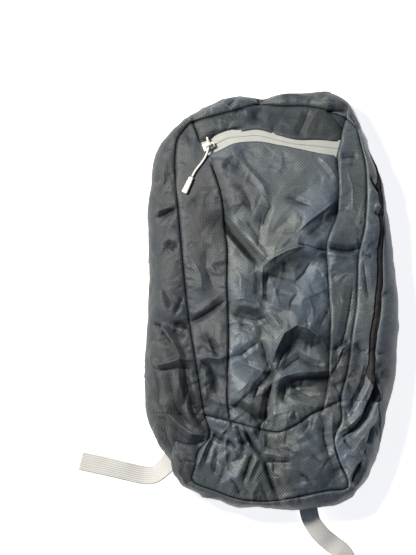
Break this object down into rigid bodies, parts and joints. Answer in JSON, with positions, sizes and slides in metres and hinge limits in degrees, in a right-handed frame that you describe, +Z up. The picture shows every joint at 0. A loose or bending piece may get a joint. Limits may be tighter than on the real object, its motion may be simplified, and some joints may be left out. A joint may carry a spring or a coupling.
{
  "type": "packable backpack",
  "caption": "Light slate-grey packable backpack lying on its back, with a zipped front pocket, cord puller, shoulder straps and off-white webbing.",
  "frame": {"origin": "middle of the whole footprint, tails of the webbing included, on the surface that it lies on", "axes": "+Z up out of the bag's front as it lies on its back, +Y towards the bag's top, +X to the right as seen in the picture"},
  "size_m": [0.3456, 0.5224, 0.0675],
  "materials": {
    "nylon": "slate grey ripstop nylon with a small honeycomb dobby, slight sheen",
    "zip_tape": "off-white woven zip tape",
    "zip_coil": "tan nylon zip coil",
    "dark_zip": "black woven zip tape",
    "slider_paint": "off-white painted metal",
    "cord": "off-white braided cord",
    "grip": "soft off-white moulded plastic",
    "webbing": "off-white ribbed webbing",
    "strap_mesh": "dark grey spacer mesh",
    "buckle": "black moulded plastic"
  },
  "bodies": {
    "root": {"yoke_panel": "nylon", "pocket_panel": "nylon", "side_panel_left": "nylon", "side_panel_right": "nylon", "lower_panel": "nylon", "base_strip": "nylon", "back_panel": "nylon", "gusset_front_top": "nylon", "gusset_back_top": "nylon", "gusset_front_upper_right": "nylon", "gusset_back_upper_right": "nylon", "gusset_front_lower_right": "nylon", "gusset_back_lower_right": "nylon", "gusset_front_upper_left": "nylon", "gusset_back_upper_left": "nylon", "gusset_front_lower_left": "nylon", "gusset_back_lower_left": "nylon", "strap_tab_left": "nylon", "strap_tab_right": "nylon", "main_zip": "dark_zip", "main_zip_slider": "buckle", "pocket_zip_tape_upper": "zip_tape", "pocket_zip_tape_lower": "zip_tape", "pocket_zip_coil": "zip_coil", "pocket_zip_slider": "slider_paint", "pull_cord": "cord", "pull_grip": "grip", "carry_handle": "webbing", "shoulder_strap_left": "strap_mesh", "buckle_loop_left": "webbing", "ladder_buckle_left": "buckle", "webbing_left": "webbing", "shoulder_strap_right": "strap_mesh", "buckle_loop_right": "webbing", "ladder_buckle_right": "buckle", "webbing_right": "webbing"}
  },
  "joints": []
}
